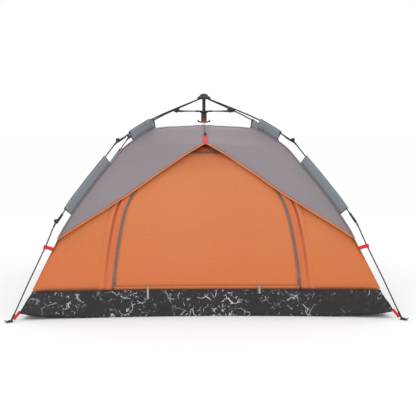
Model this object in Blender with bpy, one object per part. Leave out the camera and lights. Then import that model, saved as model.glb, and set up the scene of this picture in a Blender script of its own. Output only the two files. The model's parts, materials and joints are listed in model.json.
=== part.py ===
"""Hub-framed pop-up dome tent, pitched and closed.

Metres, +Z up, ground at Z = 0, door facing -Y. Four jointed legs fold from a
central hub that stands above the canopy; a slider and four struts hold the
arms open, and the fabric hangs inside the legs.
"""

import math

import bmesh
import bpy
from mathutils import Matrix, Vector

# footprint
FOOT_X = 1.235
FOOT_Y = 1.112
LEG_AZIMUTH = math.atan2(FOOT_Y, FOOT_X)
LEG_NAMES = ("rear_right", "rear_left", "front_left", "front_right")
LEG_TURNS = (LEG_AZIMUTH, math.pi - LEG_AZIMUTH, math.pi + LEG_AZIMUTH, -LEG_AZIMUTH)

# hub and mechanism, heights above the ground
HUB_TOP = 1.452
HUB_RIM = 1.4215
HUB_BASE = 1.4100
HUB_R = 0.050
CAP_R = 0.046
TUBE_R = 0.0125
TUBE_END = 1.262
PIVOT_R = 0.036
PIVOT_Z = 1.4145
SLIDER_R = 0.021
SLIDER_TOP = 1.3245
SLIDER_BASE = 1.247
SLIDER_PIVOT_R = 0.0265
STRUT_Z = 1.3216
BRACKET_R = 0.270
HANDLE_SPAN = 0.047
HANDLE_HALF = 0.0085

# poles in the leg plane: (distance from the hub axis, height)
ARM_LINE = ((0.050, 1.4102), (0.150, 1.3790), (0.270, 1.3415), (0.410, 1.2960),
            (0.540, 1.2480), (0.640, 1.2015), (0.7430, 1.1485))
UPPER_PIN = Vector((0.805, 0.0, 1.1220))
MID_LINE = ((0.8220, 1.0890), (0.912, 1.0110), (1.050, 0.8790), (1.188, 0.7390),
            (1.2560, 0.6600))
LOWER_BEND = Vector((1.3030, 0.0, 0.6030))
LOWER_LINE = ((1.3180, 0.5640), (1.392, 0.4530), (1.520, 0.2420), (1.6310, 0.0480))
ARM_R = 0.0050
POLE_R = 0.0042
PIN_R = 0.0026
PIN_GAP = 0.0004
ELBOW_SKEW = math.radians(60)
GAP = 0.0004

# fabric shell: seam carried by each leg, (distance from the axis, height)
SEAM = ((0.000, 1.2190), (0.250, 1.2130), (0.480, 1.1960), (0.660, 1.1200),
        (0.765, 1.0560), (0.868, 0.9600), (1.010, 0.8250), (1.143, 0.6900),
        (1.206, 0.6150), (1.262, 0.5450), (1.345, 0.4200), (1.498, 0.1800))
BROW = ((0.00, 1.0560), (0.22, 1.0160), (0.50, 0.8520), (0.63, 0.7600),
        (0.83, 0.6200), (0.94, 0.5180), (1.00, 0.4500))
PANEL_BOW = ((0.1800, 0.037), (0.500, 0.030), (0.850, 0.000), (1.0560, -0.050),
             (1.1200, 0.030), (1.1960, 0.030), (1.2190, 0.0))
BROW_RISE = 0.030
CLOTH = 0.0020
WALL_INSET = 0.028
WALL_EDGE = 0.030
WALL_LEAN = math.radians(23)

# bathtub floor
TUB_X = 1.190
TUB_Y = 1.072
TUB_BOW = 0.086
TUB_LIFT = 0.046
BAND_TOP = 0.172
BAND_X = 1.116
BAND_Y = 1.005
BAND_BOW = 0.037
TUB_SHEET = 0.0020

# door, in the front wall: (height, half width)
DOOR = ((0.184, 0.604), (0.340, 0.590), (0.480, 0.571), (0.655, 0.536), (0.765, 0.489),
        (0.870, 0.428), (0.950, 0.345), (1.005, 0.240), (1.032, 0.110))
DOOR_GAP = 0.0030
WALL_TOP = 1.072


def table(rows, key):
    """Straight-line reading of a two-column table."""
    rows = sorted(rows)
    if key <= rows[0][0]:
        return rows[0][1]
    for (a, low), (b, high) in zip(rows, rows[1:]):
        if key <= b:
            return low + (high - low) * (key - a) / (b - a)
    return rows[-1][1]


def seam_radius(height):
    return table([(z, r) for r, z in SEAM], height)


def material(name, colour, metallic=0.0, roughness=0.6):
    made = bpy.data.materials.new(name)
    made.use_nodes = True
    shader = made.node_tree.nodes["Principled BSDF"]
    shader.inputs["Base Color"].default_value = (*colour, 1.0)
    shader.inputs["Metallic"].default_value = metallic
    shader.inputs["Roughness"].default_value = roughness
    return made


def mesh_object(name, build, shader=None, matrix=None, smooth=False):
    """Object made from a bmesh that build() fills."""
    bm = bmesh.new()
    build(bm)
    bmesh.ops.recalc_face_normals(bm, faces=bm.faces)
    if matrix is not None:
        bm.transform(matrix)
    mesh = bpy.data.meshes.new(name)
    bm.to_mesh(mesh)
    bm.free()
    obj = bpy.data.objects.new(name, mesh)
    bpy.context.scene.collection.objects.link(obj)
    if shader is not None:
        mesh.materials.append(shader)
    if smooth:
        for face in mesh.polygons:
            face.use_smooth = len(face.vertices) == 4
    return obj


def combine(target, others, operation):
    """Applies one boolean per helper and removes the helpers."""
    for other in others:
        modifier = target.modifiers.new("cut", "BOOLEAN")
        modifier.operation = operation
        modifier.solver = "EXACT"
        modifier.object = other
        graph = bpy.context.evaluated_depsgraph_get()
        result = bpy.data.meshes.new_from_object(target.evaluated_get(graph))
        target.modifiers.clear()
        target.data = result
        bpy.data.objects.remove(other)
    return target


def tube_builder(points, radius, sides):
    """Round bar through the points, its rings square to the line."""
    points = [Vector(p) for p in points]

    def build(bm):
        rings = []
        for i, point in enumerate(points):
            along = points[min(i + 1, len(points) - 1)] - points[max(i - 1, 0)]
            along.normalize()
            side = along.orthogonal() if abs(along.y) > 0.9 else along.cross(Vector((0, 1, 0)))
            side.normalize()
            other = along.cross(side)
            size = radius[i] if isinstance(radius, (list, tuple)) else radius
            ring = []
            for k in range(sides):
                turn = 2 * math.pi * (k + 0.5) / sides
                offset = side * math.cos(turn) + other * math.sin(turn)
                ring.append(bm.verts.new(point + offset * size))
            rings.append(ring)
        for first, second in zip(rings, rings[1:]):
            for k in range(sides):
                n = (k + 1) % sides
                bm.faces.new((first[k], first[n], second[n], second[k]))
        bm.faces.new(rings[0])
        bm.faces.new(rings[-1])

    return build


def prism_builder(outline, half, place):
    """Outline of (u, v) pairs, extruded to +-half, placed by a matrix."""

    def build(bm):
        low = [bm.verts.new(place @ Vector((u, -half, v))) for u, v in outline]
        high = [bm.verts.new(place @ Vector((u, half, v))) for u, v in outline]
        count = len(outline)
        for k in range(count):
            n = (k + 1) % count
            bm.faces.new((low[k], low[n], high[n], high[k]))
        bm.faces.new(low)
        bm.faces.new(high)

    return build


def lathe_builder(profile, sides):
    """Closed (radius, height) profile turned about Z; radius 0 makes a pole."""

    def build(bm):
        columns = []
        for k in range(sides):
            turn = 2 * math.pi * (k + 0.5) / sides
            columns.append([
                bm.verts.new((r * math.cos(turn), r * math.sin(turn), z)) for r, z in profile
            ])
        for k in range(sides):
            here = columns[k]
            there = columns[(k + 1) % sides]
            for j in range(len(profile)):
                m = (j + 1) % len(profile)
                bm.faces.new((here[j], there[j], there[m], here[m]))
        bmesh.ops.remove_doubles(bm, verts=bm.verts, dist=1e-5)
        bmesh.ops.dissolve_degenerate(bm, edges=bm.edges, dist=1e-6)

    return build


def sheet_builder(rows, thickness, normal):
    """Closed thin sheet over a grid of points; normal(point) points inward."""

    def build(bm):
        outer = [[bm.verts.new(p) for p in row] for row in rows]
        inner = [[bm.verts.new(p + normal(p) * thickness) for p in row] for row in rows]
        for i in range(len(rows) - 1):
            for j in range(len(rows[0]) - 1):
                for layer in (outer, inner):
                    bm.faces.new((layer[i][j], layer[i][j + 1],
                                  layer[i + 1][j + 1], layer[i + 1][j]))
        rim = [(0, j) for j in range(len(rows[0]))]
        rim += [(i, len(rows[0]) - 1) for i in range(1, len(rows))]
        rim += [(len(rows) - 1, j) for j in range(len(rows[0]) - 2, -1, -1)]
        rim += [(i, 0) for i in range(len(rows) - 2, 0, -1)]
        for k, (i, j) in enumerate(rim):
            m, n = rim[(k + 1) % len(rim)]
            bm.faces.new((outer[i][j], outer[m][n], inner[m][n], inner[i][j]))

    return build


def inward(point):
    """Direction from the fabric towards the middle of the tent."""
    return (Vector((0.0, 0.0, 0.35)) - point).normalized()


# ---------------------------------------------------------------- hub
def pin(name, matrix, r, z, half):
    ends = [(r, -half, z), (r, half, z)]
    return mesh_object(name, tube_builder(ends, PIN_R, 8), matrix=matrix)


def box(name, low, high, matrix):
    outline = [(low[0], low[2]), (high[0], low[2]), (high[0], high[2]), (low[0], high[2])]
    middle = Matrix.Translation((0.0, (low[1] + high[1]) / 2, 0.0))
    return mesh_object(name, prism_builder(outline, (high[1] - low[1]) / 2, middle), matrix=matrix)


def build_hub(turns, plastic, steel):
    profile = [(0.0, HUB_RIM), (HUB_R, HUB_RIM), (HUB_R, HUB_BASE), (0.0, HUB_BASE)]
    hub = mesh_object("hub_body", lathe_builder(profile, 24), plastic, smooth=True)
    slots = [box("slot", (0.0205, -0.0064, HUB_BASE - 0.01), (0.07, 0.0064, HUB_RIM + 0.01), turn)
             for turn in turns]
    combine(hub, slots, "DIFFERENCE")
    combine(hub, [pin("pin", turn, PIVOT_R, PIVOT_Z, 0.0085) for turn in turns], "UNION")

    dome = [(0.0, HUB_TOP), (0.016, HUB_TOP - 0.002), (0.028, HUB_TOP - 0.009),
            (0.034, HUB_RIM + 0.012), (CAP_R, HUB_RIM + 0.006), (HUB_R, HUB_RIM + GAP),
            (0.0, HUB_RIM + GAP)]
    mesh_object("hub_cap", lathe_builder(dome, 24), plastic, smooth=True)

    tube = [(TUBE_R, HUB_BASE - GAP), (TUBE_R, TUBE_END), (TUBE_R - 0.0015, TUBE_END),
            (TUBE_R - 0.0015, HUB_BASE - GAP)]
    mesh_object("centre_tube", lathe_builder(tube, 20), steel, smooth=True)

    bore = TUBE_R + 0.0006
    ring = [(bore, SLIDER_TOP), (0.036, SLIDER_TOP), (0.036, SLIDER_TOP - 0.0105),
            (SLIDER_R, SLIDER_TOP - 0.0165), (SLIDER_R, SLIDER_BASE + GAP),
            (bore, SLIDER_BASE + GAP)]
    slider = mesh_object("slider", lathe_builder(ring, 20), plastic, smooth=True)
    slots = [box("slot", (0.0205, -0.0056, SLIDER_TOP - 0.03), (0.07, 0.0056, SLIDER_TOP + 0.01),
                 turn) for turn in turns]
    combine(slider, slots, "DIFFERENCE")
    pins = [pin("pin", turn, SLIDER_PIVOT_R, STRUT_Z, 0.0075) for turn in turns]
    combine(slider, pins, "UNION")

    wing = []
    steps = 8
    for k in range(-steps, steps + 1):
        x = HANDLE_SPAN * k / steps
        wing.append((x, SLIDER_BASE - 0.0045 + 7.0 * max(abs(x) - 0.018, 0.0) ** 2))
    under = [(x, z - 0.006) for x, z in reversed(wing)]
    handle = mesh_object("pull_handle", prism_builder(wing + under, HANDLE_HALF, Matrix()),
                         plastic)
    collar = [(0.0, SLIDER_BASE), (0.019, SLIDER_BASE), (0.019, SLIDER_BASE - 0.012),
              (0.0, SLIDER_BASE - 0.012)]
    combine(handle, [mesh_object("collar", lathe_builder(collar, 20))], "UNION")
    ends = [(0, 0, SLIDER_BASE + 0.01), (0, 0, SLIDER_BASE - 0.03)]
    combine(handle, [mesh_object("bore", tube_builder(ends, bore, 20))], "DIFFERENCE")


# ---------------------------------------------------------------- legs
KNUCKLE = ((-0.062, -0.0160), (-0.062, -0.0064), (-0.022, -0.0056), (-0.0125, -0.0030),
           (-0.0085, 0.0085), (-0.004, 0.0120), (0.004, 0.0120), (0.0105, 0.0070),
           (0.0130, -0.0020), (0.0130, -0.0160))
KNUCKLE_HALF = 0.0075
ARM_LINE_DROP = -0.0100
POLE_LINE_DROP = -0.0050


def elbow_frame(pin_point, direction, skew):
    """Axes at an elbow pin: X down the pole, Z to the fold side, Y along the pin."""
    down = Vector(direction).normalized()
    outer = Vector((-down.z, 0.0, down.x))
    if outer.z < 0:
        outer = -outer
    turned = Matrix.Rotation(skew, 3, down) @ outer
    side = turned.cross(down)
    frame = Matrix((down, side, turned)).transposed().to_4x4()
    return Matrix.Translation(pin_point) @ frame


def build_knuckle(name, frame, turn, shader):
    """Fork that ends the upper pole: two cheeks, an inner stop bar and the hinge pin."""
    made = mesh_object(name, prism_builder(KNUCKLE, KNUCKLE_HALF, frame), shader)
    slot = ((-0.0150, -0.0115), (0.03, -0.0115), (0.03, 0.03), (-0.0150, 0.03))
    combine(made, [mesh_object("slot", prism_builder(slot, 0.0036, frame))], "DIFFERENCE")
    ends = [frame @ Vector((0, -0.0086, 0)), frame @ Vector((0, 0.0086, 0))]
    combine(made, [mesh_object("pin", tube_builder(ends, PIN_R, 8))], "UNION")
    made.data.transform(turn)
    return made


def build_tongue(name, frame, direction, turn, shader):
    """Eye on the pin and the ferrule of the next pole; returns the ferrule's end."""
    along = Vector(direction).normalized()
    side = frame.to_3x3() @ Vector((0, 1, 0))
    down = (along - side * along.dot(side)).normalized()
    outer = down.cross(side)
    local = Matrix((down, side, outer)).transposed().to_4x4()
    local = Matrix.Translation(frame.translation) @ local
    eye = [(0.0075 * math.cos(a), 0.0075 * math.sin(a))
           for a in [math.pi * (0.30 + 1.0 * k / 6) for k in range(7)]]
    eye += [(0.020, -0.0075), (0.027, -0.0075), (0.027, -0.0020)]
    made = mesh_object(name, prism_builder(eye, 0.0032, local), shader)
    start = local @ Vector((0.0205, 0, POLE_LINE_DROP))
    end = start + along * 0.0235
    combine(made, [mesh_object("ferrule", tube_builder([start, end], [0.0060, 0.0056], 8))], "UNION")
    ends = [local @ Vector((0, -0.01, 0)), local @ Vector((0, 0.01, 0))]
    hole = mesh_object("hole", tube_builder(ends, PIN_R + PIN_GAP, 8))
    combine(made, [hole], "DIFFERENCE")
    made.data.transform(turn)
    return end + along * 2 * GAP


def line(rows):
    return [Vector((r, 0.0, z)) for r, z in rows]


def pointing(first, second):
    return (Vector(second) - Vector(first)).normalized()


def build_leg(name, turn, plastic, steel, fibre):
    # steel arm, hinged in the hub
    arm_points = line(ARM_LINE)
    arm_end = pointing(arm_points[-2], arm_points[-1])
    upper = elbow_frame(UPPER_PIN, arm_end, 0.0)
    arm_points[-1] = upper @ Vector((-0.062 - GAP, 0, ARM_LINE_DROP))
    arm = mesh_object(f"{name}_arm", tube_builder(arm_points, ARM_R, 8), steel, smooth=True)
    eye = [(PIVOT_R + 0.0062 * math.cos(a), PIVOT_Z + 0.0062 * math.sin(a))
           for a in [math.pi * (k + 0.5) / 5 for k in range(10)]]
    lug = mesh_object("lug", prism_builder(eye, 0.0055, Matrix()))
    neck = mesh_object("neck", tube_builder([(PIVOT_R + 0.001, 0, PIVOT_Z - 0.0002),
                                             (0.058, 0, 1.4077)], 0.0052, 8))
    combine(arm, [lug, neck], "UNION")
    ends = [(PIVOT_R, -0.01, PIVOT_Z), (PIVOT_R, 0.01, PIVOT_Z)]
    combine(arm, [mesh_object("hole", tube_builder(ends, PIN_R + PIN_GAP, 8))], "DIFFERENCE")
    arm.data.transform(turn)

    # saddle that carries the strut, hung under the arm
    slope = pointing(arm_points[1], arm_points[3])
    centre = Vector((BRACKET_R, 0, STRUT_Z))
    saddle = ((-0.024, 0.0030), (-0.021, -0.0080), (0.008, -0.0080), (0.022, 0.0),
              (0.024, 0.0135), (-0.024, 0.0135))
    place = Matrix((slope, Vector((0, 1, 0)), slope.cross(Vector((0, 1, 0))))).transposed()
    place = Matrix.Translation(centre) @ place.to_4x4()
    mesh_object(f"{name}_bracket", prism_builder(saddle, 0.0042, place), plastic, turn)

    # strut: inner eye block and a pair of flat links that straddle the saddle
    reach = BRACKET_R - SLIDER_PIVOT_R
    flat = Matrix.Translation((SLIDER_PIVOT_R, 0, STRUT_Z))
    block = ((-0.0045, -0.003), (-0.003, -0.0045), (0.034, -0.0045), (0.040, -0.003),
             (0.040, 0.003), (0.034, 0.0045), (-0.003, 0.0045), (-0.0045, 0.003))
    strut = mesh_object(f"{name}_strut", prism_builder(block, 0.0048, flat), steel)
    links = ((0.036, -0.0030), (reach, -0.0050), (reach + 0.006, -0.003), (reach + 0.006, 0.003),
             (reach, 0.0050), (0.036, 0.0030))
    for sign in (-1, 1):
        spread = Matrix.Translation((SLIDER_PIVOT_R, sign * 0.0068, STRUT_Z))
        combine(strut, [mesh_object("link", prism_builder(links, 0.0012, spread))], "UNION")
        combine(strut, [box("bridge", (SLIDER_PIVOT_R + 0.030, min(sign * 0.003, sign * 0.008),
                                       STRUT_Z - 0.003),
                            (SLIDER_PIVOT_R + 0.0415, max(sign * 0.003, sign * 0.008),
                             STRUT_Z + 0.003), Matrix())], "UNION")
    ends = [(SLIDER_PIVOT_R, -0.01, STRUT_Z), (SLIDER_PIVOT_R, 0.01, STRUT_Z)]
    combine(strut, [mesh_object("hole", tube_builder(ends, PIN_R + PIN_GAP, 8))], "DIFFERENCE")
    strut.data.transform(turn)

    # upper elbow and middle pole
    build_knuckle(f"{name}_upper_knuckle", upper, turn, plastic)
    mid_points = line(MID_LINE)
    mid_start = pointing(mid_points[0], mid_points[1])
    mid_points[0] = build_tongue(f"{name}_upper_tongue", upper, mid_start, turn, plastic)
    mid_end = pointing(mid_points[-2], mid_points[-1])
    lower = elbow_frame(LOWER_BEND, mid_end, ELBOW_SKEW)
    lower = lower @ Matrix.Translation((0.0, 0.0, -ARM_LINE_DROP))
    mid_points[-1] = lower @ Vector((-0.062 - GAP, 0, ARM_LINE_DROP))
    mesh_object(f"{name}_middle_pole", tube_builder(mid_points, POLE_R, 8), fibre, turn, True)

    # lower elbow, lower pole and foot
    build_knuckle(f"{name}_lower_knuckle", lower, turn, plastic)
    low_points = line(LOWER_LINE)
    low_start = pointing(low_points[0], low_points[1])
    low_points[0] = build_tongue(f"{name}_lower_tongue", lower, low_start, turn, plastic)
    mesh_object(f"{name}_lower_pole", tube_builder(low_points, POLE_R, 8), fibre, turn, True)
    tip = low_points[-1]
    along = pointing(low_points[-2], tip)
    start = tip + along * GAP
    foot = mesh_object(f"{name}_foot", tube_builder([start, tip + along * 0.047], 0.0066, 8), plastic)
    pad = ((1.645, 0.0), (1.672, 0.0), (1.690, 0.004), (1.700, 0.016), (1.697, 0.018),
           (1.684, 0.010), (1.666, 0.014), (1.652, 0.014))
    combine(foot, [mesh_object("pad", prism_builder(pad, 0.0085, Matrix()))], "UNION")
    foot.data.transform(turn)


# ---------------------------------------------------------------- fabric
def seam_at(share):
    """Seam point by its share of the row count, apex first."""
    place = share * (len(SEAM) - 1)
    low = min(int(place), len(SEAM) - 2)
    part = place - low
    return tuple(a + (b - a) * part for a, b in zip(SEAM[low], SEAM[low + 1]))


def share_of(height):
    for k, (first, second) in enumerate(zip(SEAM, SEAM[1:])):
        if height >= second[1]:
            return (k + (first[1] - height) / (first[1] - second[1])) / (len(SEAM) - 1)
    return 1.0


def panel_point(side, share, across, inset=0.0):
    """Point of one of the four panels; side 0 front, 1 right, 2 rear, 3 left."""
    radius, height = seam_at(share)
    half_x = radius * math.cos(LEG_AZIMUTH)
    half_y = radius * math.sin(LEG_AZIMUTH)
    bow = table(PANEL_BOW, height) * (1 - across * across)
    if side % 2:
        bow = abs(bow)
    rise = BROW_RISE * (1 - across * across) * max(0.0, 1 - abs(height - 1.06) / 0.12)
    if side % 2 or inset:
        rise = 0.0
    wide, deep = (half_y, half_x) if side % 2 else (half_x, half_y)
    x = across * wide
    y = -(deep * (1 - bow) - inset)
    turn = Matrix.Rotation(side * math.pi / 2, 3, "Z")
    return turn @ Vector((x, y, height + rise))


ACROSS = [-1, -0.86, -0.7, -0.5, -0.25, 0, 0.25, 0.5, 0.7, 0.86, 1]
BROW_ROWS = 9
SIDE_ROWS = 11


def build_fly(shader):
    """Roof and both side panels as one sheet, with a brow over each end wall."""

    def build(bm):
        last = share_of(table(BROW, 1.0))
        layers = {}
        for depth in (0, 1):
            for side in range(4):
                rows = BROW_ROWS if side % 2 == 0 else SIDE_ROWS
                for j, across in enumerate(ACROSS):
                    edge = last if side % 2 else share_of(table(BROW, abs(across)))
                    for i in range(rows + 1):
                        if i <= BROW_ROWS:
                            share = edge * i / BROW_ROWS
                        else:
                            share = last + (1 - last) * (i - BROW_ROWS) / (SIDE_ROWS - BROW_ROWS)
                        point = panel_point(side, share, across)
                        if depth:
                            point = point + inward(point) * CLOTH
                        layers[depth, side, i, j] = bm.verts.new(point)
                for i in range(rows):
                    for j in range(len(ACROSS) - 1):
                        corners = [layers[depth, side, i, j], layers[depth, side, i, j + 1],
                                   layers[depth, side, i + 1, j + 1], layers[depth, side, i + 1, j]]
                        bm.faces.new(corners)
        bmesh.ops.remove_doubles(bm, verts=bm.verts, dist=1e-5)
        bmesh.ops.dissolve_degenerate(bm, edges=bm.edges, dist=1e-6)
        open_edges = [edge for edge in bm.edges if len(edge.link_faces) == 1]
        bmesh.ops.bridge_loops(bm, edges=open_edges)

    mesh_object("fly", build, shader)


def door_half(height):
    return table(DOOR, height)


def wall_point(side, height, x):
    half = seam_radius(height) * math.cos(LEG_AZIMUTH)
    return panel_point(side, share_of(height), x / half, WALL_INSET)


def wall_rows(count, low, high):
    return [low + (high - low) * k / count for k in range(count + 1)]


def build_door(shader):
    heights = [z for z, _ in DOOR]
    rows = []
    for height in heights:
        half = door_half(height) - DOOR_GAP
        rows.append([wall_point(0, height, half * a / 5) for a in range(-5, 6)])
    mesh_object("door", sheet_builder(rows, CLOTH, inward), shader)


def build_front_wall(shader):
    """Wall round the doorway: a band that runs up one side, over and down the other."""
    heights = [z for z, _ in DOOR]
    edge = []
    outer = []
    for height in heights:
        half = door_half(height)
        reach = seam_radius(height) * math.cos(LEG_AZIMUTH) - WALL_EDGE
        edge.append((height, -half - DOOR_GAP * 0.5))
        outer.append((height, -reach))
    top = DOOR[-1][0] + DOOR_GAP
    edge[-1] = (top, edge[-1][1])
    reach_top = seam_radius(WALL_TOP) * math.cos(LEG_AZIMUTH) - WALL_EDGE
    outer[-1] = (WALL_TOP, -reach_top)
    spread = (-0.66, -0.33, 0.0, 0.33, 0.66)
    middle_edge = [(top, -edge[-1][1] * part) for part in spread]
    middle_outer = [(WALL_TOP, reach_top * part) for part in spread]
    edge = edge + middle_edge + [(z, -x) for z, x in reversed(edge)]
    outer = outer + middle_outer + [(z, -x) for z, x in reversed(outer)]
    rows = []
    for (z0, x0), (z1, x1) in zip(edge, outer):
        rows.append([wall_point(0, z0 + (z1 - z0) * t, x0 + (x1 - x0) * t)
                     for t in (0, 0.18, 0.5, 1)])
    mesh_object("front_wall", sheet_builder(rows, CLOTH, inward), shader)


def build_rear_wall(shader):
    rows = []
    for height in wall_rows(8, 0.184, WALL_TOP):
        reach = seam_radius(height) * math.cos(LEG_AZIMUTH) - WALL_EDGE
        rows.append([wall_point(2, height, reach * a / 5) for a in range(-5, 6)])
    mesh_object("rear_wall", sheet_builder(rows, CLOTH, inward), shader)


def tub_outline(half_x, half_y, bow, steps, shrink=1.0):
    """Rectangle with its sides bowed in, as (point, how near a corner)."""
    loop = []
    for side in range(4):
        wide, deep = (half_y, half_x) if side % 2 else (half_x, half_y)
        turn = Matrix.Rotation(side * math.pi / 2, 3, "Z")
        for k in range(steps):
            across = -1 + 2 * k / steps
            y = -deep * (1 - bow * (1 - across * across))
            loop.append((turn @ Vector((across * wide, y, 0.0)) * shrink, abs(across) ** 4))
    return loop


def build_floor(shader):
    """Bathtub floor: ground sheet and the upright band round it."""
    steps = 10

    def build(bm):
        outer = []
        inner = []
        for shrink in (0.40, 0.86):
            loop = tub_outline(TUB_X, TUB_Y, TUB_BOW, steps, shrink)
            outer.append([bm.verts.new(p) for p, _ in loop])
            inner.append([bm.verts.new(p + Vector((0, 0, TUB_SHEET))) for p, _ in loop])
        loop = tub_outline(TUB_X, TUB_Y, TUB_BOW, steps)
        inside = tub_outline(TUB_X - 0.003, TUB_Y - 0.003, TUB_BOW, steps)
        outer.append([bm.verts.new(p + Vector((0, 0, TUB_LIFT * c))) for p, c in loop])
        inner.append([bm.verts.new(p + Vector((0, 0, TUB_LIFT * c + TUB_SHEET)))
                      for p, c in inside])
        for share in (0.5, 1.0):
            low = tub_outline(TUB_X, TUB_Y, TUB_BOW, steps)
            high = tub_outline(BAND_X, BAND_Y, BAND_BOW, steps)
            ring_out = []
            ring_in = []
            for (a, corner), (b, _) in zip(low, high):
                foot = a + Vector((0, 0, TUB_LIFT * corner))
                head = b + Vector((0, 0, BAND_TOP))
                point = foot.lerp(head, share)
                ring_out.append(bm.verts.new(point))
                flat = Vector((point.x, point.y, 0)).normalized()
                ring_in.append(bm.verts.new(point - flat * TUB_SHEET))
            outer.append(ring_out)
            inner.append(ring_in)
        count = 4 * steps
        for rings in (outer, inner):
            for first, second in zip(rings, rings[1:]):
                for k in range(count):
                    n = (k + 1) % count
                    bm.faces.new((first[k], first[n], second[n], second[k]))
            bm.faces.new(rings[0])
        for k in range(count):
            n = (k + 1) % count
            bm.faces.new((outer[-1][k], outer[-1][n], inner[-1][n], inner[-1][k]))

    mesh_object("floor_tub", build, shader)


def build_sleeve(name, points, turn, shader):
    """Cloth tube round a pole with its flap running in to the canopy seam."""
    ring_out = [(-0.0060, 0.0052), (0.0, 0.0082), (0.0060, 0.0052), (0.0076, 0.0),
                (0.0030, -0.028), (0.0016, -0.0460), (-0.0016, -0.0460), (-0.0030, -0.028),
                (-0.0076, 0.0)]
    ring_in = [(-0.0046, 0.0042), (0.0, 0.0064), (0.0046, 0.0042), (0.0060, 0.0),
               (0.0018, -0.024), (0.0006, -0.030), (-0.0006, -0.030), (-0.0018, -0.024),
               (-0.0060, 0.0)]

    def build(bm):
        stations = []
        for i, point in enumerate(points):
            along = (points[min(i + 1, len(points) - 1)] - points[max(i - 1, 0)]).normalized()
            outer = Vector((-along.z, 0.0, along.x))
            side = Vector((0.0, 1.0, 0.0))
            stations.append([[bm.verts.new(point + side * w + outer * v) for w, v in ring]
                             for ring in (ring_out, ring_in)])
        count = len(ring_out)
        for first, second in zip(stations, stations[1:]):
            for layer in (0, 1):
                for k in range(count):
                    n = (k + 1) % count
                    bm.faces.new((first[layer][k], first[layer][n],
                                  second[layer][n], second[layer][k]))
        for station in (stations[0], stations[-1]):
            for k in range(count):
                n = (k + 1) % count
                bm.faces.new((station[0][k], station[0][n], station[1][n], station[1][k]))

    mesh_object(name, build, shader, turn)


def between(rows, low, high):
    """Points of a pole line from one distance to another, with its own bends."""
    distances = [low] + [r for r, _ in rows if low + 0.01 < r < high - 0.01] + [high]
    return [Vector((r, 0.0, table(rows, r))) for r in distances]


def build_zip_slider(name, sign, shader):
    """Zip slider with its pull tab, parked at the foot of one door zip."""
    height = DOOR[0][0] + 0.045
    x = sign * door_half(height)
    point = wall_point(0, height, x)
    outline = ((-0.004, -0.0075), (0.004, -0.0075), (0.006, 0.006), (0.0035, 0.0085),
               (-0.0035, 0.0085), (-0.006, 0.006))
    tilt = Matrix.Translation(point) @ Matrix.Rotation(-WALL_LEAN, 4, "X")
    place = tilt @ Matrix.Translation((0, -0.0046, 0))
    body = mesh_object(name, prism_builder(outline, 0.0022, place), shader)
    tab = ((-0.004, -0.030), (0.004, -0.030), (0.003, -0.002), (-0.003, -0.002))
    place = tilt @ Matrix.Translation((0, -0.0076, 0))
    combine(body, [mesh_object("tab", prism_builder(tab, 0.0012, place))], "UNION")


def main():
    for obj in list(bpy.data.objects):
        bpy.data.objects.remove(obj)
    plastic = material("moulded_black", (0.018, 0.018, 0.020), 0.0, 0.42)
    steel = material("dark_steel", (0.045, 0.047, 0.050), 0.7, 0.35)
    fibre = material("fibreglass", (0.060, 0.062, 0.066), 0.0, 0.38)
    grey = material("fly_grey", (0.285, 0.255, 0.280), 0.0, 0.75)
    blue = material("sleeve_blue_grey", (0.19, 0.225, 0.265), 0.0, 0.75)
    orange = material("wall_orange", (0.68, 0.205, 0.065), 0.0, 0.75)
    film = material("floor_black", (0.030, 0.028, 0.030), 0.0, 0.35)

    turns = [Matrix.Rotation(turn, 4, "Z") for turn in LEG_TURNS]
    build_hub(turns, plastic, steel)
    for name, turn in zip(LEG_NAMES, turns):
        build_leg(name, turn, plastic, steel, fibre)
        build_sleeve(f"{name}_upper_sleeve", between(ARM_LINE, 0.530, 0.700), turn, blue)
        build_sleeve(f"{name}_lower_sleeve", between(MID_LINE, 0.920, 1.230), turn, blue)
    build_fly(grey)
    build_front_wall(orange)
    build_rear_wall(orange)
    build_door(orange)
    build_floor(film)
    for name, sign in (("zip_slider_left", -1), ("zip_slider_right", 1)):
        build_zip_slider(name, sign, steel)


main()
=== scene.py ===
"""Hub-framed pop-up tent: cloth, film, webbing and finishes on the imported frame."""
import bmesh
import bpy
import json
import math
import numpy as np
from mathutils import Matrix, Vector, noise


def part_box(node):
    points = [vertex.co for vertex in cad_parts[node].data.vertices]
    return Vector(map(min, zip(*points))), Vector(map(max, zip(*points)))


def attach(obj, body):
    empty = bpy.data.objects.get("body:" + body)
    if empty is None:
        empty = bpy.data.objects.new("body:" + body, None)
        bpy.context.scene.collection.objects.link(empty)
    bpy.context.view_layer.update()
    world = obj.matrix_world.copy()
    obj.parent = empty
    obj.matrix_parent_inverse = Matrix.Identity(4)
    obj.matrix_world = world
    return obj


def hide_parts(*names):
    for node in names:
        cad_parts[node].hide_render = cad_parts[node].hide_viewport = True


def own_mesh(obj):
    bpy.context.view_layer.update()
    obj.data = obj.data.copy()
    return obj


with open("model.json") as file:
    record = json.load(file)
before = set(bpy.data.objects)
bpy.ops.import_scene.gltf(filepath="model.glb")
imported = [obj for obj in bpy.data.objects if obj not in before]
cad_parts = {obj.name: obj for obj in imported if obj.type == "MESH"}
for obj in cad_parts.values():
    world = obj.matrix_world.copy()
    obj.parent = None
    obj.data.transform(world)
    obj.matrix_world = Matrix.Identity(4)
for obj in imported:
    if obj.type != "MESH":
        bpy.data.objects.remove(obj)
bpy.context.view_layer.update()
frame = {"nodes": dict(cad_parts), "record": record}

# ------------------------------------------------------------------ dimensions (metres)
FOOT_X, FOOT_Y = 1.235, 1.112
LEG_AZIMUTH = math.atan2(FOOT_Y, FOOT_X)
LEGS = {"rear_right": LEG_AZIMUTH, "rear_left": math.pi - LEG_AZIMUTH,
        "front_left": math.pi + LEG_AZIMUTH, "front_right": -LEG_AZIMUTH}
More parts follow.
